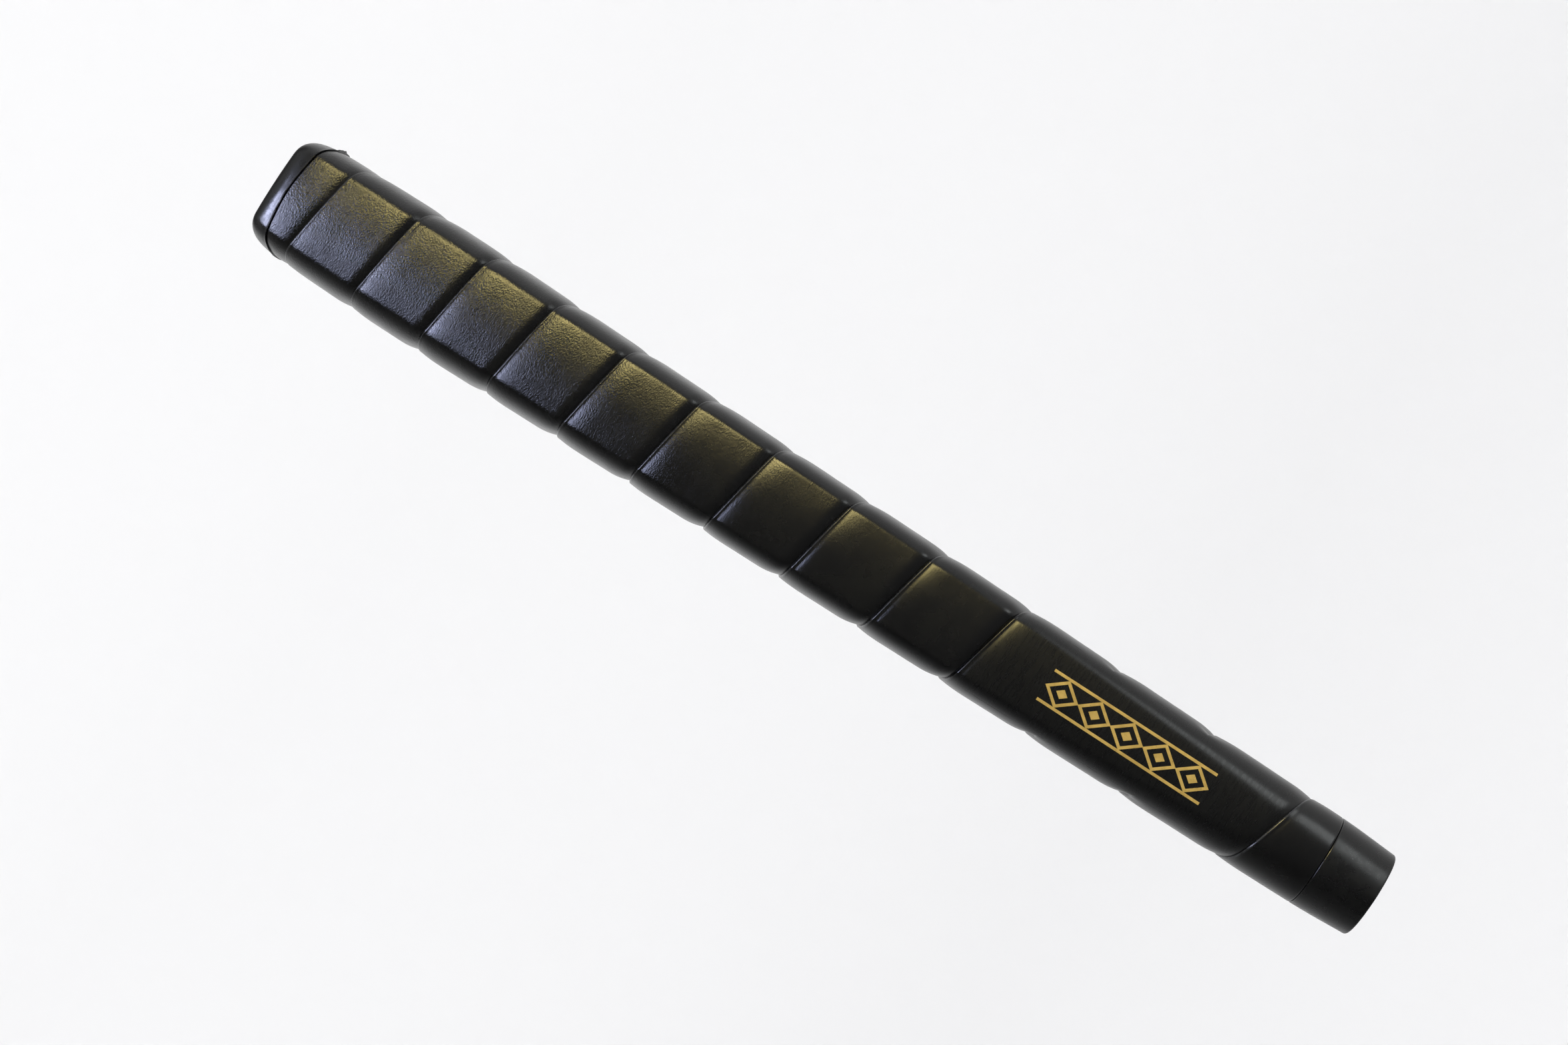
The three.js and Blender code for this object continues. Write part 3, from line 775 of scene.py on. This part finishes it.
class Shader(Nodes):
    """A material about its Principled BSDF."""

    def __init__(self, name):
        self.material = bpy.data.materials.new(name)
        self.material.use_nodes = True
        super().__init__(self.material.node_tree)
        self.surface = self.tree.nodes["Principled BSDF"]

    def strip_place(self):
        """Millimetres along the strip, height on the grip, and distance from the strip's edge."""
        return self.node("Attribute", attribute_name="strip").outputs["Vector"]

    def object_place(self):
        """Millimetres in the object."""
        return self.scaled(self.node("TexCoord").outputs["Object"], (1 / MM,) * 3)

    def scaled(self, vector, scale):
        return self.node("VectorMath", {0: vector, 1: scale}, operation="MULTIPLY").outputs[0]

    def noise(self, vector, scale=1.0, detail=3.0, roughness=0.55, distortion=0.0):
        inputs = {"Vector": vector, "Scale": scale, "Detail": detail}
        inputs.update({"Roughness": roughness, "Distortion": distortion})
        return self.node("TexNoise", inputs).outputs["Fac"]

    def cells(self, vector, scale=1.0, feature="F1"):
        made = self.node("TexVoronoi", {"Vector": vector, "Scale": scale}, feature=feature)
        return made.outputs["Distance"]

    def drift(self, value, colours):
        """Between two colours by a noise's value."""
        return self.mix(self.remap(value, 0.35, 0.65), *colours)

    def dusted(self, colour, dust, place, spacing, size, strength):
        """Sparse specks of dust over a colour, spacing and size in the units of place."""
        distance = self.cells(place, 1 / spacing)
        speck = self.remap(distance, size / spacing, 0.45 * size / spacing)
        return self.mix(self.calc("MULTIPLY", speck, strength), colour, dust)

    def bump(self, height, distance):
        return self.node("Bump", {"Height": height, "Distance": distance, "Strength": 1.0}).outputs[0]

    def set(self, **inputs):
        for key, value in inputs.items():
            self.feed(self.surface.inputs[key.replace("_", " ")], value)


def leather_material():
    s = Shader("wrap_leather")
    place = s.strip_place()
    split = s.node("SeparateXYZ", {"Vector": place})
    height, from_edge = split.outputs["Y"], split.outputs["Z"]
    flat_place = s.scaled(place, (1, 1, 0))

    wrinkle = s.noise(s.scaled(flat_place, WRINKLE_SCALE), distortion=0.3)
    pebble = s.cells(s.scaled(flat_place, PEBBLE_SCALE), feature="SMOOTH_F1")
    fine = s.noise(flat_place, scale=9, detail=2, roughness=0.5)
    relief = s.calc("MULTIPLY_ADD", pebble, 0.9, s.calc("MULTIPLY_ADD", fine, 0.3, wrinkle))
    relief = s.calc("MULTIPLY", relief, s.remap(height, **GRAIN_FADE))

    patch = s.noise(flat_place, scale=0.12, roughness=0.6)
    # lighter in patches near the strip's lip: partly edge wear, partly a painted highlight along the lip
    # line
    patchy_edge_wear_and_highlight = s.remap(s.noise(flat_place, scale=0.8), 0.25, 0.6)
    edge_wear_and_highlight = s.calc("MULTIPLY", s.remap(from_edge, 0.6, 0.25), patchy_edge_wear_and_highlight)
    colour = s.mix(s.calc("MULTIPLY", edge_wear_and_highlight, 0.8), s.drift(patch, LEATHER), LEATHER_EDGE_WEAR_AND_HIGHLIGHT)
    colour = s.dusted(colour, LEATHER_DUST, flat_place, spacing=5.5, size=0.09, strength=0.5)
    s.set(Base_Color=colour, Roughness=s.remap(patch, 0.3, 0.7, *LEATHER_ROUGHNESS),
          Normal=s.bump(relief, LEATHER_RELIEF))
    return s.material


def satin_material():
    s = Shader("panel_satin")
    place = s.scaled(s.strip_place(), (1, 1, 0))
    scuffs = s.noise(s.scaled(place, SCUFF_SCALE), detail=5, roughness=0.65, distortion=0.8)
    fine = s.noise(place, scale=5, roughness=0.6)
    relief = s.calc("MULTIPLY_ADD", fine, 0.2, scuffs)
    colour = s.drift(s.noise(place, scale=0.11, roughness=0.6), SATIN)
    colour = s.dusted(colour, SATIN_DUST, place, spacing=6.5, size=0.08, strength=0.4)
    s.set(Base_Color=colour, Roughness=s.remap(scuffs, 0.42, 0.62, *SATIN_ROUGHNESS),
          Normal=s.bump(relief, SATIN_RELIEF))
    return s.material


def rubber_material(name, colours, roughness, relief):
    s = Shader(name)
    place = s.object_place()
    colour = s.drift(s.noise(place, scale=0.16, roughness=0.6), colours)
    colour = s.dusted(colour, RUBBER_DUST, place, spacing=5.0, size=0.16, strength=0.45)
    smears = s.noise(place, scale=0.5, detail=4, roughness=0.6)
    fine = s.noise(place, scale=4.5, detail=4, roughness=0.65)
    s.set(Base_Color=colour, Roughness=s.remap(smears, 0.35, 0.65, *roughness), Normal=s.bump(fine, relief))
    return s.material


def foil_material():
    s = Shader("gold_foil")
    place = s.object_place()
    wear = s.remap(s.noise(place, scale=2.2, detail=5, roughness=0.7), 0.62, 0.7)
    colour = s.drift(s.noise(place, scale=0.35, roughness=0.6), FOIL)
    colour = s.mix(s.calc("MULTIPLY", wear, 0.7), colour, FOIL_WORN)
    smears = s.noise(place, scale=3, roughness=0.6)
    roughness = s.remap(smears, 0.35, 0.65, *FOIL_ROUGHNESS)
    s.set(Base_Color=colour, Metallic=FOIL_METAL, Roughness=roughness,
          Normal=s.bump(s.noise(place, scale=2.5), FOIL_RELIEF))
    return s.material


# ---- floor, light and camera ----

FLOOR_HEIGHT = -0.5       # metres from here on
FLOOR_RINGS = (0.4, 1.0)
FLOOR_COLOUR = (0.9, 0.9, 0.905, 1)
FLOOR_ROUGHNESS = 0.9
COVE_FLAT = 1.6
COVE_ROUND = 0.8
COVE_HEIGHT = 3.0
STAGE_SIDES = 128

ROOM_LIGHT = 1.42
# what the gloss sees of the room, by degrees towards -X from straight in front of the grip
ROOM_RING = [(-180, 1.0), (-150, 1.0), (-120, 0.9), (-90, 0.42), (-50, 0.15), (-26, 0.07), (0, 0.25),
             (24, 0.32), (45, 0.6), (90, 1.4), (115, 1.8), (150, 1.1), (180, 1.0)]
ROOM_TINT = (1, 1.01, 1.02)
# the room dims from below the horizon upwards, and the floor glows mostly in front of the grip
ROOM_DIMS = {"low": 0.06, "high": -0.34, "to_low": 0.7, "to_high": 1.0}
FLOOR_SHOWS = {"low": -0.62, "high": -0.9}
FLOOR_GLOWS = {"low": 0.1, "high": -0.25, "to_low": 0.12, "to_high": 0.6}

# angles in degrees, as seen from the place on the grip that the lamp faces; distances in metres
SOFTBOXES = [
    {"name": "cool_window", "lean": -10, "tip": 46, "width": 11, "height": 38,
     "colour": (0.62, 0.68, 1.0), "radiance": 23},
    {"name": "cool_window_low", "lean": -12, "tip": 54, "width": 6, "height": 18,
     "colour": (0.72, 0.75, 1.0), "radiance": 42},
    {"name": "warm_window", "lean": 20, "tip": 24, "width": 11, "height": 24,
     "colour": (1.0, 0.83, 0.33), "radiance": 26},
    {"name": "side_fill", "lean": 45, "tip": -12, "width": 24, "height": 22,
     "colour": (0.95, 1.0, 1.0), "radiance": 2.8, "faced": 0.95, "distance": 0.55},
]

CAMERA_LENS = 45.9        # millimetres, as is the sensor
CAMERA_SENSOR = 36
CAMERA_PLACE = (0.00108, -0.40889, 0.20223)
CAMERA_AXES = (
    (-0.54571, -0.83798, -0.00102),
    (0.14488, -0.09315, -0.98505),
    (0.82536, -0.5377, 0.17228),
)
CAMERA_CLIP = (0.01, 30)


def build_stage():
    """A pale floor that curves up into a round wall, far outside every view's camera."""
    profile = [(r, 0.0) for r in (*FLOOR_RINGS, COVE_FLAT)]
    for angle in np.linspace(0, math.pi / 2, 16)[1:]:
        r = COVE_FLAT + COVE_ROUND * math.sin(angle)
        profile.append((r, COVE_ROUND * (1 - math.cos(angle))))
    profile.append((COVE_FLAT + COVE_ROUND, COVE_HEIGHT))
    turn = np.linspace(0, 2 * math.pi, STAGE_SIDES, endpoint=False)
    points = [[0.0, 0.0, FLOOR_HEIGHT]]
    for r, z in profile:
        points += [[r * math.cos(t), r * math.sin(t), z + FLOOR_HEIGHT] for t in turn]
    faces = [[0, 1 + c, 1 + (c + 1) % STAGE_SIDES] for c in range(STAGE_SIDES)]
    faces += (grid_faces(len(profile), STAGE_SIDES, False, True) + 1).tolist()
    s = Shader("pale_floor")
    s.set(Base_Color=FLOOR_COLOUR, Roughness=FLOOR_ROUGHNESS, Specular_IOR_Level=0.0)
    floor = mesh_piece("floor", points, faces, s.material)
    floor.visible_glossy = False


def softbox(name, lean, tip, width, height, colour, radiance, faced=0.5, distance=2.0):
    """A lamp in front of the grip, lean degrees towards -X and tip degrees towards the floor.

    It faces that share of the grip's length and is width by height degrees large from there.
    """
    target = Vector((0, 0, LENGTH * MM * faced))
    lean, tip, width, height = (math.radians(a) for a in (lean, tip, width, height))
    towards = Vector((-math.sin(lean) * math.cos(tip), -math.cos(lean) * math.cos(tip), -math.sin(tip)))
    lamp = bpy.data.lights.new(name, "AREA")
    lamp.shape = "RECTANGLE"
    lamp.size = 2 * distance * math.tan(width / 2)
    lamp.size_y = 2 * distance * math.tan(height / 2)
    lamp.color = colour
    lamp.energy = math.pi * lamp.size * lamp.size_y * radiance
    holder = bpy.data.objects.new(name, lamp)
    bpy.context.scene.collection.objects.link(holder)
    across = Vector((0, 0, 1)).cross(towards).normalized()
    turned = Matrix((across, towards.cross(across), towards)).transposed()
    holder.matrix_world = Matrix.Translation(target + towards * distance) @ turned.to_4x4()
    holder.visible_camera = False
    holder.visible_diffuse = False


def build_world():
    """A white room for the camera and the floor, and for the gloss one that varies round the grip."""
    world = bpy.data.worlds.new("studio")
    world.use_nodes = True
    world.cycles.sampling_method = "NONE"
    w = Nodes(world.node_tree)
    w.tree.nodes.clear()

    split = w.node("SeparateXYZ", {"Vector": w.node("TexCoord").outputs["Generated"]})
    ahead = w.calc("MULTIPLY", split.outputs["Y"], -1.0)
    aside = w.calc("MULTIPLY", split.outputs["X"], -1.0)
    turn = w.remap(w.calc("ARCTAN2", aside, ahead), -math.pi, math.pi, curve="LINEAR")
    ring = w.node("ValToRGB", {"Fac": turn})
    ring.color_ramp.interpolation = "B_SPLINE"
    stops = ring.color_ramp.elements
    while len(stops) < len(ROOM_RING):
        stops.new(0.5)
    for stop, (angle, level) in zip(stops, ROOM_RING):
        stop.position = angle / 360 + 0.5
        stop.color = (*(level * tint for tint in ROOM_TINT), 1)

    sides = w.mix(1.0, ring.outputs[0], w.remap(split.outputs["Z"], **ROOM_DIMS), "MULTIPLY")
    down = w.remap(split.outputs["Z"], **FLOOR_SHOWS)
    dome = w.mix(down, sides, w.remap(split.outputs["Y"], **FLOOR_GLOWS))
    room = w.node("Background", {"Color": (1.0, 1.0, 1.0, 1), "Strength": ROOM_LIGHT})
    gloss = w.node("Background", {"Color": dome, "Strength": 1.0})
    is_glossy = w.node("LightPath").outputs["Is Glossy Ray"]
    both = w.node("MixShader", {0: is_glossy, 1: room.outputs[0], 2: gloss.outputs[0]})
    w.node("OutputWorld", {"Surface": both.outputs[0]})
    bpy.context.scene.world = world


def build_camera():
    camera = bpy.data.objects.new("camera", bpy.data.cameras.new("camera"))
    camera.data.lens = CAMERA_LENS
    camera.data.sensor_width = CAMERA_SENSOR
    camera.matrix_world = Matrix.Translation(CAMERA_PLACE) @ Matrix(CAMERA_AXES).to_4x4()
    camera.data.clip_start, camera.data.clip_end = CAMERA_CLIP
    bpy.context.scene.collection.objects.link(camera)
    bpy.context.scene.camera = camera


bpy.context.scene.view_settings.view_transform = "Standard"
build_wrap(leather_material(), satin_material())
build_end_cap(rubber_material("cap_rubber", **CAP_RUBBER))
build_mouth_collar(rubber_material("collar_rubber", **COLLAR_RUBBER))
build_core_sleeve(rubber_material("core_rubber", **CORE_RUBBER))
build_foil(foil_material())
build_stage()
build_world()
build_camera()
for box in SOFTBOXES:
    softbox(**box)
